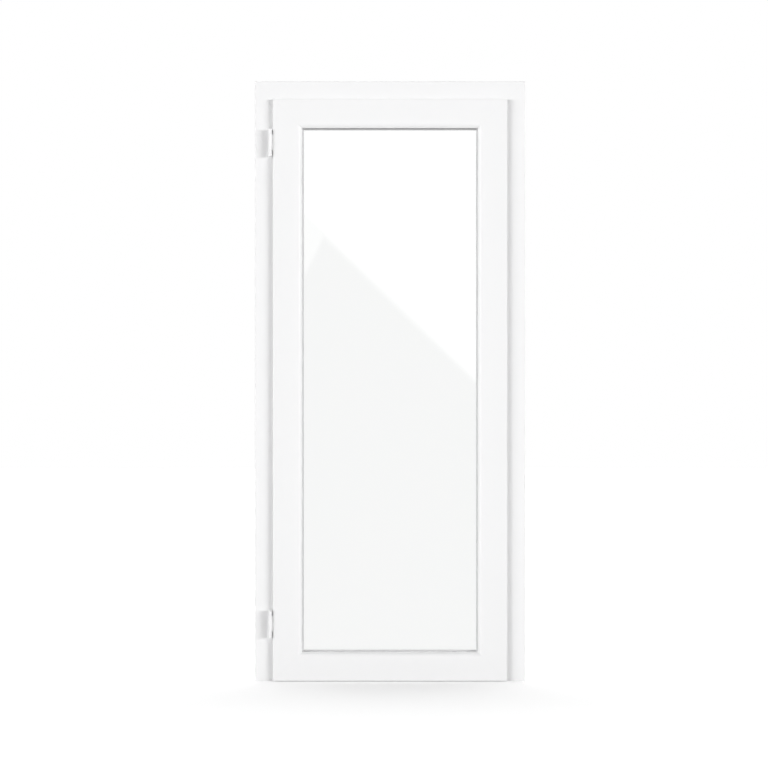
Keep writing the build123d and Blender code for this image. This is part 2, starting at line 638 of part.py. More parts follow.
def lock(parts):
    """The faceplate and cams on the leaf's edge, and the strike plates on the jamb."""
    floor = LEAF_BODY_EDGE - GROOVE_DEPTH
    half = GROOVE_WIDTH / 2 - PLATE_CLEARANCE
    low = LEAF_BOTTOM + LIP_WIDTH + FACEPLATE_END_GAP
    high = LEAF_TOP - LIP_WIDTH - FACEPLATE_END_GAP
    face = floor + PLATE_THICKNESS
    parts["lock_faceplate"] = box(floor, face, GROOVE_MIDDLE - half, GROOVE_MIDDLE + half, low, high)

    cams = []
    strikes = []
    wall = REBATE_WALL
    half_strike = STRIKE_WIDTH / 2
    middle = FRAME_FRONT + FRAME_INNER_DEPTH / 2
    for z in CAM_HEIGHTS:
        neck_height = CAM_HEIGHT - CAM_COLLAR
        neck = Pos(face + neck_height / 2, GROOVE_MIDDLE, z) * Rot(0, 90, 0)
        collar = Pos(face + neck_height + CAM_COLLAR / 2, GROOVE_MIDDLE, z) * Rot(0, 90, 0)
        cam = neck * Cylinder(CAM_NECK_RADIUS, neck_height) + collar * Cylinder(CAM_RADIUS, CAM_COLLAR)
        cams.append(one_solid(cam))
        plate = box(
            wall - STRIKE_THICKNESS,
            wall,
            middle - half_strike,
            middle + half_strike,
            z - STRIKE_LENGTH / 2,
            z + STRIKE_LENGTH / 2,
        )
        slot = box(
            wall - STRIKE_THICKNESS,
            wall,
            middle - STRIKE_SLOT_WIDTH / 2,
            middle + STRIKE_SLOT_WIDTH / 2,
            z - STRIKE_SLOT_LENGTH / 2,
            z + STRIKE_SLOT_LENGTH / 2,
        )
        strikes.append(one_solid(plate - slot))
    parts["locking_cams"] = Compound(children=cams)
    parts["strike_plates"] = Compound(children=strikes)


def write(parts):
    """One STEP file for each named piece."""
    os.makedirs("parts", exist_ok=True)
    for name, shape in parts.items():
        export_step(shape, f"parts/{name}.step")


parts = {}
frame_profiles(parts)
threshold(parts)
leaf_profiles(parts)
glazing(parts)
seals(parts)
weather_bar(parts)
hinges(parts)
lock(parts)
write(parts)
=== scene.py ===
import bpy
import numpy as np
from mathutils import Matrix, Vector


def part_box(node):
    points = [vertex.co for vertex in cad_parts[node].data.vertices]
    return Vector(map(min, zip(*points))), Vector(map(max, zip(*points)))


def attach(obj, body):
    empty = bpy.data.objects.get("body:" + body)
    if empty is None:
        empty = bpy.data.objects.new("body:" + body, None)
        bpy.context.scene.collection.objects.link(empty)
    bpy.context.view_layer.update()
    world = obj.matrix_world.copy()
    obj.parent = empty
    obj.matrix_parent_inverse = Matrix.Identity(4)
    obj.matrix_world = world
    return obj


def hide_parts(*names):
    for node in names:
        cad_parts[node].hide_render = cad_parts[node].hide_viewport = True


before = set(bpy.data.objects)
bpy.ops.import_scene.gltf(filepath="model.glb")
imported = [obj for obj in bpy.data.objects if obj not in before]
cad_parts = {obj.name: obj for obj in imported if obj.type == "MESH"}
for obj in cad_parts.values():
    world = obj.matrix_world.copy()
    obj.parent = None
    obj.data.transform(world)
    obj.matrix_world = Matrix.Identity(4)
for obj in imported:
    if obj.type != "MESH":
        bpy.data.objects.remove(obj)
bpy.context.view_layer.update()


# Jambs and head. Each is a pair of hollow aluminium extrusions, one on the room side and one
# outside, mitred at the top corners and sawn square at the floor. Baked polyester powder
# covers them: white, satin, with the faint orange peel that such powder keeps when it flows.
class Wire:
    """An output of a node; arithmetic on wires adds the Math nodes that work it out."""

    def __init__(self, shader, socket):
        self.shader = shader
        self.socket = socket

    def maths(self, operation, *values):
        return self.shader.node("Math", {"operation": operation}, dict(enumerate(values)))

    def __add__(self, other):
        return self.maths("ADD", self, other)

    def __sub__(self, other):
        return self.maths("SUBTRACT", self, other)

    def __rsub__(self, other):
        return self.maths("SUBTRACT", other, self)

    def __mul__(self, other):
        return self.maths("MULTIPLY", self, other)

    def __truediv__(self, other):
        return self.maths("DIVIDE", self, other)

    def __lt__(self, other):
        return self.maths("LESS_THAN", self, other)

    def __abs__(self):
        return self.maths("ABSOLUTE", self)

    def least(self, other):
        return self.maths("MINIMUM", self, other)

    def most(self, other):
        return self.maths("MAXIMUM", self, other)

    def swing(self, reach):
        """Goes from 0 up to reach and back, over and over, as the value grows."""
        return self.maths("PINGPONG", self, reach)

    def rise(self, low, high):
        """0 below low, 1 above high, a smooth step between; it falls if low is above high."""
        return self.shader.node(
            "MapRange",
            {"interpolation_type": "SMOOTHSTEP"},
            {"Value": self, "From Min": low, "From Max": high},
        )

    __radd__ = __add__
    __rmul__ = __mul__


class Shader:
    """The nodes of a material or of the world."""

    def __init__(self, owner):
        owner.use_nodes = True
        self.owner = owner
        self.tree = owner.node_tree
        self.tree.nodes.clear()

    def node(self, kind, settings=None, inputs=None, output=0):
        """Adds a node with these settings, and a number, colour or wire for each input named."""
        made = self.tree.nodes.new("ShaderNode" + kind)
        for name, value in (settings or {}).items():
            setattr(made, name, value)
        for name, value in (inputs or {}).items():
            if isinstance(value, Wire):
                self.tree.links.new(value.socket, made.inputs[name])
            else:
                made.inputs[name].default_value = value
        return Wire(self, made.outputs[output]) if made.outputs else None

    def place(self, stretch=(1, 1, 1)):
        """Object coordinates in metres, times a stretch along each axis."""
        spot = self.node("TexCoord", output="Object")
        return self.node("Mapping", {"vector_type": "POINT"}, {"Vector": spot, "Scale": stretch})

    def axes(self):
        """The x, y and z of a point, in metres."""
        spot = self.node("TexCoord", output="Object")
        return [self.node("SeparateXYZ", inputs={0: spot}, output=i) for i in range(3)]

    def noise(self, scale, detail=2.0, stretch=(1, 1, 1)):
        """Soft noise from 0 to 1; its grains are about one metre over scale across."""
        return self.node(
            "TexNoise", inputs={"Vector": self.place(stretch), "Scale": scale, "Detail": detail}
        )

    def blend(self, share, first, second):
        """The first colour where share is 0 and the second where it is 1."""
        return self.node(
            "Mix", {"data_type": "RGBA"}, {"Factor": share, 6: first, 7: second}, output=2
        )

    def relief(self, height, depth):
        """A bump that raises the surface by depth in metres where height is 1."""
        return self.node("Bump", inputs={"Height": height, "Distance": depth})

    def close(self, **sockets):
        """Ends a material with a Principled shader; underscores stand for spaces in the names."""
        inputs = {name.replace("_", " "): value for name, value in sockets.items()}
        surface = self.node("BsdfPrincipled", inputs=inputs)
        self.node("OutputMaterial", inputs={"Surface": surface})
        return self.owner


def finish(name):
    """A new material with no nodes yet."""
    return Shader(bpy.data.materials.new(name))


def dress(nodes, material):
    """Gives CAD nodes their material."""
    for name in nodes:
        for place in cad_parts[name].material_slots:
            place.material = material


WHITE_POWDER = (0.86, 0.86, 0.863, 1)
WHITE_POWDER_THIN = (0.845, 0.845, 0.849, 1)
POWDER_IN_SEAM = (0.79, 0.79, 0.79, 1)
SAWN_ALUMINIUM = (0.56, 0.57, 0.58, 1)
SEAM_HALF = 0.00012
PEEL_RELIEF = 0.000012
SEAM_DEPTH = 3.0  # times the peel's relief


def powder_coat(name, to_seam, sawn_below=None):
    """White powder on an extrusion: fine orange peel, a hairline at each mitre, bare sawn ends.

    to_seam turns the x and z of a point into its distance from the nearest mitre. Below the
    height sawn_below the metal is bare, as the saw leaves it.
    """
    coat = finish(name)
    x, _, z = coat.axes()
    seam = to_seam(x, z).rise(SEAM_HALF * 2, SEAM_HALF)
    colour = coat.blend(coat.noise(9.0) * 0.5, WHITE_POWDER, WHITE_POWDER_THIN)
    colour = coat.blend(seam, colour, POWDER_IN_SEAM)
    if sawn_below:
        colour = coat.blend(z < sawn_below, colour, SAWN_ALUMINIUM)
    peel = coat.noise(620.0, 1.0) + coat.noise(2400.0, 1.0) * 0.2
    skin = coat.relief(peel - seam * SEAM_DEPTH, PEEL_RELIEF)
    rough = coat.noise(60.0) * 0.1 + 0.36
    return coat.close(Base_Color=colour, Roughness=rough, IOR=1.5, Normal=skin)


FRAME_HALF_WIDTH = 0.45
FRAME_TOP = 2.0
JAMB_FOOT = 0.0002
SINE_OF_45 = 0.7071


def frame_mitre(x, z):
    """Distance from the plane that halves the corner between a jamb and the head."""
    from_side = FRAME_HALF_WIDTH - abs(x)
    from_top = FRAME_TOP - z
    return abs(from_side - from_top) * SINE_OF_45


frame_coat = powder_coat("frame_powder_coat", frame_mitre, JAMB_FOOT)
frame_members = ("hinge_jamb", "lock_jamb", "head")
dress([f"{m}_{s}_shell" for m in frame_members for s in ("inner", "outer")], frame_coat)


# Thermal breaks. Two strips of glass-filled black polyamide are rolled into each pair of
# extrusions, so that no metal runs through the profile. The die leaves fine lines along
# them, which run up a jamb or stile and across a head or rail.
POLYAMIDE_SHADES = ((0.016, 0.016, 0.017, 1), (0.04, 0.04, 0.041, 1))
POLYAMIDE_RELIEF = 0.00003


def polyamide(name, stretch):
    """Near-black plastic with fine lines along the axis that stretch makes long."""
    strip = finish(name)
    lines = strip.noise(1500.0, 3.0, stretch)
    fibres = strip.noise(4000.0, 1.0)
    colour = strip.blend(lines, *POLYAMIDE_SHADES)
    rough = fibres * 0.15 + 0.45
    skin = strip.relief(lines + fibres * 0.4, POLYAMIDE_RELIEF)
    return strip.close(Base_Color=colour, Roughness=rough, Normal=skin)


upright_strips = polyamide("upright_polyamide", (1, 1, 0.03))
level_strips = polyamide("level_polyamide", (0.03, 1, 1))
dress(
    [f"{m}_thermal_break" for m in ("hinge_jamb", "lock_jamb", "hinge_stile", "lock_stile")],
    upright_strips,
)
dress([f"{m}_thermal_break" for m in ("head", "top_rail", "bottom_rail")], level_strips)


# Threshold. A hollow plastic core sits on the floor and parts two anodised aluminium rails.
# The rails keep the fine draw lines of the extrusion along their length, dulled in patches
# where feet have scratched them a little.
CORE_SHADES = ((0.05, 0.05, 0.052, 1), (0.075, 0.075, 0.078, 1))
CORE_RELIEF = 0.00002
ANODISED_SHADES = ((0.62, 0.63, 0.645, 1), (0.72, 0.73, 0.745, 1))
DRAW_LINE_RELIEF = 0.000015


def threshold_core():
    """Dark grey plastic whose fine grain is drawn out along the threshold."""
    core = finish("threshold_core_plastic")
    grain = core.noise(900.0, 2.0, (0.05, 1, 1))
    colour = core.blend(grain, *CORE_SHADES)
    rough = core.noise(120.0) * 0.15 + 0.42
    return core.close(Base_Color=colour, Roughness=rough, Normal=core.relief(grain, CORE_RELIEF))


def anodised_rail():
    """Silver anodising over fine draw lines, duller where it is worn."""
    rail = finish("anodised_aluminium")
    lines = rail.noise(2600.0, 3.0, (0.012, 1, 1))
    worn = rail.noise(14.0, 3.0).rise(0.45, 0.75)
    colour = rail.blend(lines, *ANODISED_SHADES)
    rough = lines * 0.12 + worn * 0.08 + 0.28
    skin = rail.relief(lines, DRAW_LINE_RELIEF)
    return rail.close(Base_Color=colour, Metallic=1.0, Roughness=rough, Normal=skin)


dress(["threshold_core"], threshold_core())
dress(["threshold_inner_rail", "threshold_outer_rail"], anodised_rail())


# Stiles and rails of the leaf, and the beads that hold its glass. They are the same kind of
# double extrusion as the frame, with a lip that laps it, crimped round cleats at four mitres.
LEAF_HALF_WIDTH = 0.39
LEAF_MIDDLE = 0.971
LEAF_HALF_HEIGHT = 0.969


def leaf_mitre(x, z):
    """Distance from the planes that halve the leaf's corners."""
    from_side = LEAF_HALF_WIDTH - abs(x)
    from_end = LEAF_HALF_HEIGHT - abs(z - LEAF_MIDDLE)
    return abs(from_side - from_end) * SINE_OF_45


leaf_coat = powder_coat("leaf_powder_coat", leaf_mitre)
leaf_members = ("hinge_stile", "lock_stile", "top_rail", "bottom_rail")
dress([f"{m}_{s}_shell" for m in leaf_members for s in ("inner", "outer")], leaf_coat)
dress([f"{m}_glazing_bead" for m in ("hinge_side", "lock_side", "top", "bottom")], leaf_coat)


# Sealed glass unit. Two float panes stand either side of a dull aluminium spacer bar, whose
# row of small slits lets the drying agent inside reach the cavity. The slits are not cut but
# painted near black, as painted shade for the dark inside each hole.
SPACER_LOW, SPACER_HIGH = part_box("glass_spacer")
SLIT_PITCH = 0.008
SLIT_LENGTH = 0.0026
SLIT_WIDTH = 0.0006
# Near-black painted shade for the inside of each slit, which is drawn in colour, not cut.
PAINTED_SLIT_SHADE = (0.03, 0.03, 0.03, 1)
SPACER_SHADES = ((0.30, 0.305, 0.31, 1), (0.40, 0.405, 0.41, 1))
GLASS_TINTS = ((0.996, 0.999, 0.997, 1), (0.993, 0.997, 0.995, 1))
GLASS_WAVES = 0.00001


def float_glass():
    """Clear glass with the faint long waves and the trace of green that float glass has."""
    glass = finish("float_glass")
    waves = glass.noise(3.0, 1.0)
    colour = glass.blend(waves, *GLASS_TINTS)
    return glass.close(
        Base_Color=colour,
        Roughness=0.0,
        IOR=1.5,
        Transmission_Weight=1.0,
        Normal=glass.relief(waves, GLASS_WAVES),
    )


def spacer_bar():
    """Dull metal, with a row of slits along the middle of the bar painted near black as painted
    shade.

    The place along the bar is z on the upright sides and x on the level ones. A slit is where
    that place is within half a slit's length of a multiple of the pitch.
    """
    bar = finish("spacer_bar")
    x, y, z = bar.axes()
    middle_y, middle_z = [(SPACER_LOW[i] + SPACER_HIGH[i]) / 2 for i in (1, 2)]
    beside = SPACER_HIGH[0] - abs(x)
    below = SPACER_HIGH[2] - middle_z - abs(z - middle_z)
    upright = beside < below
    along = upright * z + (1.0 - upright) * x
    slits = along.swing(SLIT_PITCH / 2) < SLIT_LENGTH / 2
    slits = slits * (abs(y - middle_y) < SLIT_WIDTH / 2)
    grain = bar.noise(1800.0, 2.0)
    # Painted shade: the slits get the near-black colour in place of real holes.
    colour = bar.blend(slits, bar.blend(grain, *SPACER_SHADES), PAINTED_SLIT_SHADE)
    rough = grain * 0.1 + 0.4
    return bar.close(Base_Color=colour, Metallic=1.0, Roughness=rough)


dress(["room_side_pane", "outside_pane"], float_glass())
dress(["glass_spacer"], spacer_bar())


# Rubber seals. Extruded EPDM: the wedge gaskets on both sides of the glass, the lip seal
# that closes on the frame's face and the hollow centre seal in the rebate. Light grey, matt,
# with a dusting of talc left from the roll.
RUBBER_SHADES = ((0.60, 0.60, 0.605, 1), (0.68, 0.68, 0.685, 1))
RUBBER_RELIEF = 0.00002


def grey_rubber():
    """Light grey rubber, paler where talc clings to it."""
    rubber = finish("grey_rubber")
    dust = rubber.noise(35.0, 3.0)
    grain = rubber.noise(3000.0, 2.0)
    colour = rubber.blend(dust, *RUBBER_SHADES)
    rough = dust * 0.15 + 0.6
    skin = rubber.relief(grain, RUBBER_RELIEF)
    return rubber.close(Base_Color=colour, Roughness=rough, Normal=skin)


dress(
    ["room_side_glazing_gasket", "outside_glazing_gasket", "leaf_lip_seal", "frame_centre_seal"],
    grey_rubber(),
)


# Brush seal. Nylon bristles are fixed in a moulded strip, on both sides of a thin fin that
# stops the draught between them. The strip snaps into the groove under the leaf, and the
# bristles reach down to the threshold.
def mesh_piece(name, points, faces, body, slot, material):
    """A new piece from arrays of points and faces, in place on its body."""
    mesh = bpy.data.meshes.new(name)
    mesh.from_pydata(np.asarray(points).reshape(-1, 3).tolist(), [], faces)
    mesh.validate()
    mesh.materials.append(material)
    piece = bpy.data.objects.new(name, mesh)
    bpy.context.scene.collection.objects.link(piece)
    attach(piece, body)
    return piece


def run_across(section, half_length):
    """A closed (y, z) section carried straight from x = -half_length to x = half_length.

    The section turns anticlockwise seen from +x, so its faces point outwards.
    """
    y, z = np.array(section).T
    count = len(section)
    x = np.repeat([-half_length, half_length], count)
    points = np.stack([x, np.tile(y, 2), np.tile(z, 2)], axis=1)
    near = np.arange(count)
    far = (near + 1) % count
    sides = np.stack([near, far, far + count, near + count], axis=1)
    return points, sides.tolist() + [near[::-1].tolist(), (near + count).tolist()]


BRUSH_HALF_LENGTH = 0.368
BRUSH_MIDDLE = -0.026
BRUSH_TOP = 0.025
BRUSH_TIPS = 0.0174
BRISTLE_PITCH = 0.0009
BRISTLE_ROWS = 6
ROW_PITCH = 0.0005
BRISTLE_RADIUS = 0.00016
BRISTLE_ROOT = 0.002  # below the strip's top
BRISTLE_MARGIN = 0.0006  # from the strip's ends
BRISTLE_SCATTER = 0.0003
BRISTLE_LEAN = 0.00022
MOST_LEAN = 0.0005
UNEVEN_TIPS = 0.0005
FIBRE_SHADES = ((0.035, 0.035, 0.037, 1), (0.10, 0.10, 0.105, 1))
STRIP_HALF_OUTLINE = (
    (0.0002, -0.0064),
    (0.0002, -0.0028),
    (0.0017, -0.0028),
    (0.0033, -0.0026),
    (0.0040, -0.0020),
    (0.0040, -0.0005),
    (0.0035, 0.0),
)


def strip_section():
    """The strip's T-shaped section: a base 8 mm wide with rounded shoulders, and a thin fin."""
    right = np.array(STRIP_HALF_OUTLINE)
    left = right[::-1] * (-1, 1)
    return np.concatenate([right, left]) + (BRUSH_MIDDLE, BRUSH_TOP)


def bristles():
    """Tapered three-sided hairs in rows each side of the fin.

    Each hair runs from a root in the strip to a tip, which is the root's place plus a seeded
    random lean sideways. The hair is half as thick there.
    """
    rng = np.random.default_rng(7)
    across = (np.arange(BRISTLE_ROWS) - (BRISTLE_ROWS - 1) / 2) * ROW_PITCH
    reach = BRUSH_HALF_LENGTH - BRISTLE_MARGIN
    x, y = np.meshgrid(np.arange(-reach, reach, BRISTLE_PITCH), across + BRUSH_MIDDLE)
    roots = np.stack([x.ravel(), y.ravel(), np.full(x.size, BRUSH_TOP - BRISTLE_ROOT)], axis=1)
    roots[:, 0] += rng.uniform(-BRISTLE_SCATTER, BRISTLE_SCATTER, len(roots))
    lean = rng.normal(0.0, BRISTLE_LEAN, (len(roots), 2)).clip(-MOST_LEAN, MOST_LEAN)
    tips = roots.copy()
    tips[:, :2] += lean
    tips[:, 2] = BRUSH_TIPS + rng.uniform(0.0, UNEVEN_TIPS, len(roots))
    turn = rng.uniform(0, 2 * np.pi, len(roots))[:, None] - np.arange(3) * 2 * np.pi / 3
    ring = np.stack([np.cos(turn), np.sin(turn), np.zeros_like(turn)], axis=2) * BRISTLE_RADIUS
    points = np.concatenate([roots[:, None] + ring, tips[:, None] + ring / 2], axis=1)
    start = np.arange(len(roots))[:, None] * 6
    k = np.arange(3)
    walls = np.stack([k, (k + 1) % 3, (k + 1) % 3 + 3, k + 3], axis=1)
    quads = (start[:, :, None] + walls).reshape(-1, 4)
    ends = np.concatenate([start + (2, 1, 0), start + (3, 4, 5)])
    return points, quads.tolist() + ends.tolist()


def brush_fibres():
    """Black nylon, streaked along the hairs."""
    pile = finish("brush_fibres")
    strands = pile.noise(5000.0, 1.0, (1, 1, 0.05))
    colour = pile.blend(strands, *FIBRE_SHADES)
    return pile.close(Base_Color=colour, Roughness=strands * 0.2 + 0.5)


strip = run_across(strip_section(), BRUSH_HALF_LENGTH)
brush_strip = mesh_piece("brush_strip", *strip, "leaf", "brush_pile", level_strips)
brush_bristles = mesh_piece("brush_bristles", *bristles(), "leaf", "brush_pile", brush_fibres())
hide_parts("bottom_brush_seal")
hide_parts("bottom_brush_seal")


# Weather bar. An aluminium drip bar, powder coated like the leaf, is screwed to the leaf's
# outside face under its slope. A moulded cap closes each end and throws the water clear.
PLAIN_PEEL_RELIEF = 0.00001


def plain_coat(name):
    """White powder on a small piece that has no mitre in it."""
    coat = finish(name)
    peel = coat.noise(700.0, 1.0)
    rough = coat.noise(90.0) * 0.1 + 0.33
    colour = coat.blend(coat.noise(25.0), WHITE_POWDER, WHITE_POWDER_THIN)
    skin = coat.relief(peel, PLAIN_PEEL_RELIEF)
    return coat.close(Base_Color=colour, Roughness=rough, Normal=skin)


dress(["weather_bar"], plain_coat("weather_bar_powder_coat"))

BAR_END = 0.345
CAP_THICKNESS = 0.0025
BAR_CAP_OUTLINE = (
    (0.0295, 0.0375),
    (0.0455, 0.0215),
    (0.0455, 0.0365),
    (0.0440, 0.0385),
    (0.0325, 0.0630),
    (0.0295, 0.0640),
)
PLASTIC_SHADES = ((0.80, 0.80, 0.80, 1), (0.84, 0.84, 0.84, 1))
PLASTIC_RELIEF = 0.00001
CAP_EDGE_RADIUS = 0.0006


def bar_cap(side):
    """The cap's (y, z) outline, carried outwards from the bar's end through its thickness."""
    points, faces = run_across(BAR_CAP_OUTLINE, CAP_THICKNESS / 2)
    points[:, 0] += side * (BAR_END + CAP_THICKNESS / 2)
    return points, faces


def moulded_plastic():
    """White plastic with the fine grain of its mould."""
    plastic = finish("white_moulded_plastic")
    grain = plastic.noise(1400.0, 2.0)
    colour = plastic.blend(plastic.noise(30.0), *PLASTIC_SHADES)
    rough = grain * 0.12 + 0.42
    skin = plastic.relief(grain, PLASTIC_RELIEF)
    return plastic.close(Base_Color=colour, Roughness=rough, Normal=skin)


white_plastic = moulded_plastic()
for side, name in ((-1, "hinge_side_bar_cap"), (1, "lock_side_bar_cap")):
    cap = mesh_piece(name, *bar_cap(side), "leaf", "white_powder_coat", white_plastic)
    softened = cap.modifiers.new("softened", "BEVEL")
    softened.width = CAP_EDGE_RADIUS
    softened.segments = 2


def turned(outline, lobes, centres, outward, sectors=24):
    """Round heads: an outline of (radius, height) turned about the outward axis at each centre.

    The radius of ring k at angle t is radius[k] * (1 + lobes[k] * cos(6 * t)), which gives a
    recess its six lobes. The first and the last point lie on the axis and close the head.
    """
    radius, height = np.array(outline).T
    t = np.arange(sectors) * 2 * np.pi / sectors
    swell = 1 + np.array(lobes)[:, None] * np.cos(6 * t)
    reach = radius[1:-1, None] * swell[1:-1]
    rings = np.stack([reach * np.cos(t), reach * np.sin(t)], axis=2).reshape(-1, 2)
    flat = np.concatenate([[(0, 0)], rings, [(0, 0)]])
    tall = np.concatenate([height[:1], np.repeat(height[1:-1], sectors), height[-1:]])
    w = np.array(outward, float)
    u = np.cross(w, (0.6, 0.8, 0.0) if abs(w[2]) > 0.5 else (0.0, 0.0, 1.0))
    u = u / np.linalg.norm(u)
    v = np.cross(w, u)
    shape = flat[:, :1] * u + flat[:, 1:] * v + tall[:, None] * w
    points = np.array(centres, float)[:, None] + shape
    k = np.arange(sectors)
    after = (k + 1) % sectors
    level = 1 + np.arange(len(radius) - 3)[:, None] * sectors
    walls = np.stack([level + k, level + after, level + after + sectors, level + k + sectors], 2)
    last = len(shape) - 1
    foot = np.stack([np.zeros_like(k), 1 + after, 1 + k], axis=1)
    crown = np.stack([np.full_like(k, last), last - sectors + k, last - sectors + after], axis=1)
    starts = np.arange(len(points))[:, None, None] * len(shape)
    quads = (starts + walls.reshape(-1, 4)).reshape(-1, 4)
    fans = (starts + np.concatenate([foot, crown])).reshape(-1, 3)
    return points, quads.tolist() + fans.tolist()


HEAD_TURN = 0.9  # radians of the dome, from its rim to the recess
HEAD_TURN_SINE = 0.7833
HEAD_FOOT = -0.6  # of how proud the head stands, as the next two
HEAD_RIM = 0.35
RECESS_FLOOR = -0.4
RECESS_RADIUS = 0.42  # of the head's
RECESS_WALL = ((1.08, 1.02), (1.0, 0.9), (0.9, -0.3))  # of its radius, and as the foot
RECESS_LOBES = (0.06, 0.16, 0.16)


def raised_head(radius, proud):
    """The outline and lobes of a screw head: a low dome with a six-lobed recess in its middle.

    The dome's radius is the head's times the cosine of the turn, and it climbs with the sine.
    """
    turn = np.linspace(0, 1, 5) * HEAD_TURN
    climb = HEAD_RIM + (1 - HEAD_RIM) * np.sin(turn) / HEAD_TURN_SINE
    dome = np.stack([np.cos(turn), climb], axis=1)
    recess = np.array(RECESS_WALL) * (RECESS_RADIUS, 1)
    outline = [(0, HEAD_FOOT), (1, HEAD_FOOT), *dome, *recess, (0, RECESS_FLOOR)]
    lobes = [0, 0, *[0] * len(dome), *RECESS_LOBES, 0]
    return np.array(outline) * (radius, proud), lobes


STEEL_SHADES = ((0.50, 0.50, 0.505, 1), (0.62, 0.62, 0.625, 1))
STEEL_RELIEF = 0.00001


def stainless(name, stretch):
    """Stainless steel with the marks of its finishing; stretch can draw them into lines."""
    steel = finish(name)
    lines = steel.noise(3000.0, 3.0, stretch)
    colour = steel.blend(lines, *STEEL_SHADES)
    rough = lines * 0.15 + 0.24
    skin = steel.relief(lines, STEEL_RELIEF)
    return steel.close(Base_Color=colour, Metallic=1.0, Roughness=rough, Normal=skin)


turned_steel = stainless("turned_steel", (1, 1, 1))


def screws(name, head, places, outward, body):
    """A row of stainless screws; head is the radius of their heads and how proud they stand."""
    heads = turned(*raised_head(*head), places, outward)
    mesh_piece(name, *heads, body, "stainless_steel", turned_steel)


BAR_FLANGE_FACE = 0.0315
BAR_SCREW_HEIGHT = 0.046
BAR_SCREW_SPREAD = (-0.31, 0.31, 5)  # from, to and how many
BAR_SCREW_HEAD = (0.0038, 0.0012)
bar_screws = [(x, BAR_FLANGE_FACE, BAR_SCREW_HEIGHT) for x in np.linspace(*BAR_SCREW_SPREAD)]
screws("weather_bar_screws", BAR_SCREW_HEAD, bar_screws, (0, 1, 0), "leaf")


# Hinges. Extruded aluminium knuckles and plates, coated with the same powder as the door,
# turn on a stainless pin. A moulded cap is pressed into each end of the barrel, and three
# screws hold the leaf's plate to the edge of its stile.
hinge_nodes = [f"{h}_hinge_{p}_part" for h in ("upper", "lower") for p in ("frame", "leaf")]
dress(hinge_nodes, plain_coat("hinge_powder_coat"))

PIN_X = -0.3993
PIN_Y = -0.0545
HINGE_ENDS = ((0.146, 0.236), (1.749, 1.839))
LEAF_PLATE_FACE = -0.3928
LEAF_PLATE_MIDDLE = -0.0432
PLATE_SCREW_RISES = (0.0291, 0.0467, 0.0643)
PLATE_SCREW_HEAD = (0.0031, 0.0008)
PIN_CAP_OUTLINE = (
    (0.0, -0.0004),
    (0.0046, -0.0004),
    (0.0052, 0.0),
    (0.0052, 0.0004),
    (0.0045, 0.0009),
    (0.0028, 0.0012),
    (0.0012, 0.0013),
    (0.0, 0.0013),
)

for end, name, up in ((0, "lower_pin_caps", -1), (1, "upper_pin_caps", 1)):
    places = [(PIN_X, PIN_Y, ends[end]) for ends in HINGE_ENDS]
    caps = turned(PIN_CAP_OUTLINE, [0] * len(PIN_CAP_OUTLINE), places, (0, 0, up))
    mesh_piece(name, *caps, "frame", "white_hinge", white_plastic)

plate_screws = [
    (LEAF_PLATE_FACE, LEAF_PLATE_MIDDLE, bottom + rise)
    for bottom, _ in HINGE_ENDS
    for rise in PLATE_SCREW_RISES
]
screws("hinge_plate_screws", PLATE_SCREW_HEAD, plate_screws, (-1, 0, 0), "leaf")


# Lock. A stainless strip is let into the groove of the lock stile and carries three mushroom
# cams, each of which closes behind a slotted strike plate on the jamb. A cam is turned from
# steel, and its socket sets how hard it pulls. Screws hold the strip and the plates.
brushed_steel = stainless("brushed_steel", (1, 1, 0.01))
dress(["lock_faceplate", "strike_plates"], brushed_steel)
dress(["hinge_pins"], turned_steel)

CAM_MIDDLE = -0.026
CAM_HEIGHTS = (0.33, 1.0, 1.67)
FACEPLATE_FACE = 0.3695
CAM_OUTLINE = (
    (0.0, -0.0008),
    (0.0035, -0.0008),
    (0.0035, 0.0026),
    (0.0040, 0.0032),
    (0.0052, 0.0033),
    (0.0055, 0.0036),
    (0.0055, 0.0041),
    (0.0051, 0.0045),
    (0.0026, 0.0045),
    (0.0023, 0.0042),
    (0.0023, 0.0022),
    (0.0, 0.0020),
)
CAM_LOBES = (0, 0, 0, 0, 0, 0, 0, 0, 0.04, 0.07, 0.07, 0)

cam_places = [(FACEPLATE_FACE, CAM_MIDDLE, z) for z in CAM_HEIGHTS]
cams = mesh_piece(
    "mushroom_cams",
    *turned(CAM_OUTLINE, CAM_LOBES, cam_places, (1, 0, 0)),
    "leaf",
    "stainless_steel",
    turned_steel,
)
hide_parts("locking_cams")

FACEPLATE_SCREW_SPREAD = (0.105, 1.84, 9)
FACEPLATE_SCREW_HEAD = (0.0034, 0.0007)
faceplate_screws = [
    (FACEPLATE_FACE, CAM_MIDDLE, z) for z in np.linspace(*FACEPLATE_SCREW_SPREAD)
]
screws("faceplate_screws", FACEPLATE_SCREW_HEAD, faceplate_screws, (1, 0, 0), "leaf")

STRIKE_FACE = 0.38
STRIKE_MIDDLE = -0.022
STRIKE_SCREW_RISES = (-0.042, 0.042)
STRIKE_SCREW_HEAD = (0.0038, 0.0007)
strike_screws = [
    (STRIKE_FACE, STRIKE_MIDDLE, z + rise) for z in CAM_HEIGHTS for rise in STRIKE_SCREW_RISES
]
screws("strike_screws", STRIKE_SCREW_HEAD, strike_screws, (-1, 0, 0), "frame")


# Studio. A pale floor, soft light that comes low from both sides in front and from above
# behind, and the camera level in front of the room side, as in the photograph.
FLOOR_HALF = 30.0
FLOOR_SEEN = (0.95, 0.95, 0.95, 1)
FLOOR_GLOW = 0.41
FLOOR_BOUNCING = (0.46, 0.46, 0.46, 1)
WHITE = (1, 1, 1, 1)


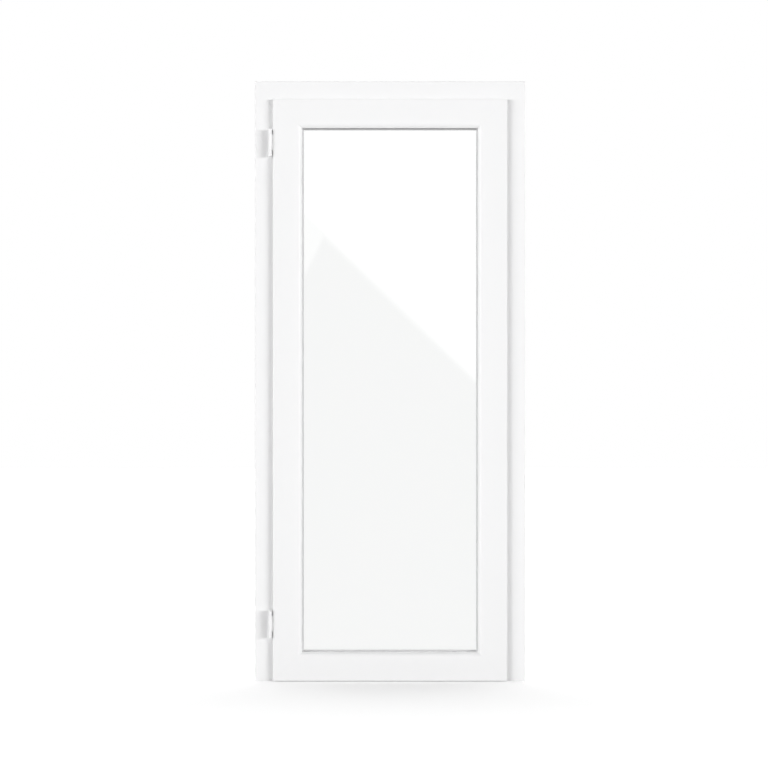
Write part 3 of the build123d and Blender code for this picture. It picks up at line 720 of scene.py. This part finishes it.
def floor_paint():
    """Pale and aglow to the camera, and mid grey to the light that bounces off it."""
    paint = finish("studio_floor_paint")
    lit = paint.node("BsdfDiffuse", inputs={"Color": FLOOR_SEEN})
    glow = paint.node("Emission", inputs={"Color": WHITE, "Strength": FLOOR_GLOW})
    seen = paint.node("AddShader", inputs={0: lit, 1: glow})
    bouncing = paint.node("BsdfDiffuse", inputs={"Color": FLOOR_BOUNCING})
    camera_ray = paint.node("LightPath", output="Is Camera Ray")
    surface = paint.node("MixShader", inputs={0: camera_ray, 1: bouncing, 2: seen})
    paint.node("OutputMaterial", inputs={"Surface": surface})
    return paint.owner


def sheet_of_floor(material):
    """A square floor at z = 0, which mirrors and glass don't show."""
    corners = np.array([(-1, -1, 0), (1, -1, 0), (1, 1, 0), (-1, 1, 0)]) * FLOOR_HALF
    mesh = bpy.data.meshes.new("studio_floor")
    mesh.from_pydata(corners.tolist(), [], [(0, 1, 2, 3)])
    mesh.materials.append(material)
    floor = bpy.data.objects.new("studio_floor", mesh)
    bpy.context.scene.collection.objects.link(floor)
    floor.visible_glossy = False
    floor.visible_transmission = False


# A pair says where a light begins to grow or fade and where that ends, as the x, y or z of
# the direction it comes from; a bank's two pairs are slopes sideways, x over the depth y.
BAND_FOOT = (-0.02, 0.03)
BAND_TOP = (0.04, 0.26)
BAND_LIGHT = 19.4
LEFT_BANK = ((-0.45, -0.8), (-4.0, -1.2), 1.3)
RIGHT_BANK = ((0.5, 0.85), (3.2, 1.2), 1.5)
IN_FRONT = (0.05, -0.05)
DOME_FOOT = (0.0, 0.3)
DOME_TOP = (0.75, 0.97)
DOME_SIDE = (0.45, 0.95)
DOME_LIGHT = 2.3


def soft_light(x, y, z, aside):
    """The light on matt surfaces: a bank in front on each side, and a dome behind.

    A bank is the band above the floor, times its rise from the middle, its fall at the side
    and its strength. The dome fades at its foot, at its top and towards both sides.
    """
    band = z.rise(*BAND_FOOT) * (1.0 - z.rise(*BAND_TOP))
    in_front = y.rise(*IN_FRONT)
    left_bank, right_bank = [
        aside.rise(*inner) * aside.rise(*outer) * strength
        for inner, outer, strength in (LEFT_BANK, RIGHT_BANK)
    ]
    dome = z.rise(*DOME_FOOT) * (1.0 - z.rise(*DOME_TOP)) * (1.0 - in_front)
    dome = dome * (1.0 - abs(x).rise(*DOME_SIDE)) * DOME_LIGHT
    return band * (left_bank + right_bank) * in_front * BAND_LIGHT + dome


# Slope, height and blur of the edge of the pale panel and of the faint one, over the depth.
PANEL_EDGE = (0.96, 0.0255, 0.0022)
FAINT_EDGE = (2.06, 0.0756, 0.0018)
FAINT_SHARE = 0.55
PANEL_LIGHT = 0.7
GREY_ROOM = 0.58
LEAST_DEPTH = 0.001


def mirrored_room(aside, up):
    """What glass and metal mirror: a grey room with a pale and a faint panel, edged aslant.

    A panel is where the height lies above the edge's height plus its slope times aside.
    """
    slope, height, blur = PANEL_EDGE
    panel = (up + aside * slope - height).rise(-blur, blur)
    slope, height, blur = FAINT_EDGE
    faint = (up - aside * slope - height).rise(-blur, blur) * FAINT_SHARE
    return panel.most(faint) * PANEL_LIGHT + GREY_ROOM


def studio_sky():
    """White to the camera, also through the glass; else the mirrored room or the soft light.

    A ray of the glossy or the transmission kind sees the room once it has been mirrored, and
    white before that.
    """
    sky = Shader(bpy.data.worlds.new("studio"))
    bpy.context.scene.world = sky.owner
    towards = sky.node("TexCoord", output="Generated")
    x, y, z = [sky.node("SeparateXYZ", inputs={0: towards}, output=i) for i in range(3)]
    ahead = abs(y).most(LEAST_DEPTH)
    aside = x / ahead
    up = z / ahead
    camera_ray, glossy_ray, transmission_ray, depth = [
        sky.node("LightPath", output=kind)
        for kind in ("Is Camera Ray", "Is Glossy Ray", "Is Transmission Ray", "Glossy Depth")
    ]
    mirrored = depth.least(1.0)
    sharp_light = mirrored * mirrored_room(aside, up) + (1.0 - mirrored)
    sharp = glossy_ray.most(transmission_ray)
    unseen = sharp * sharp_light + (1.0 - sharp) * soft_light(x, y, z, aside)
    strength = camera_ray + (1.0 - camera_ray) * unseen
    backdrop = sky.node("Background", inputs={"Color": WHITE, "Strength": strength})
    sky.node("OutputWorld", inputs={"Surface": backdrop})


sheet_of_floor(floor_paint())
studio_sky()

CAMERA_PLACE = (-0.020, -12.0, 0.991)
FRAME_FACE = -0.0325
SENSOR_WIDTH = 36.0
FIELD_WIDTH = 2.56  # at the frame's face
lens = bpy.data.cameras.new("camera")
lens.sensor_width = SENSOR_WIDTH
lens.lens = SENSOR_WIDTH * (FRAME_FACE - CAMERA_PLACE[1]) / FIELD_WIDTH
lens.clip_end = 200
camera = bpy.data.objects.new("camera", lens)
camera.location = CAMERA_PLACE
camera.rotation_euler = (np.pi / 2, 0, 0)
bpy.context.scene.collection.objects.link(camera)
bpy.context.scene.camera = camera
bpy.context.scene.view_settings.view_transform = "Standard"
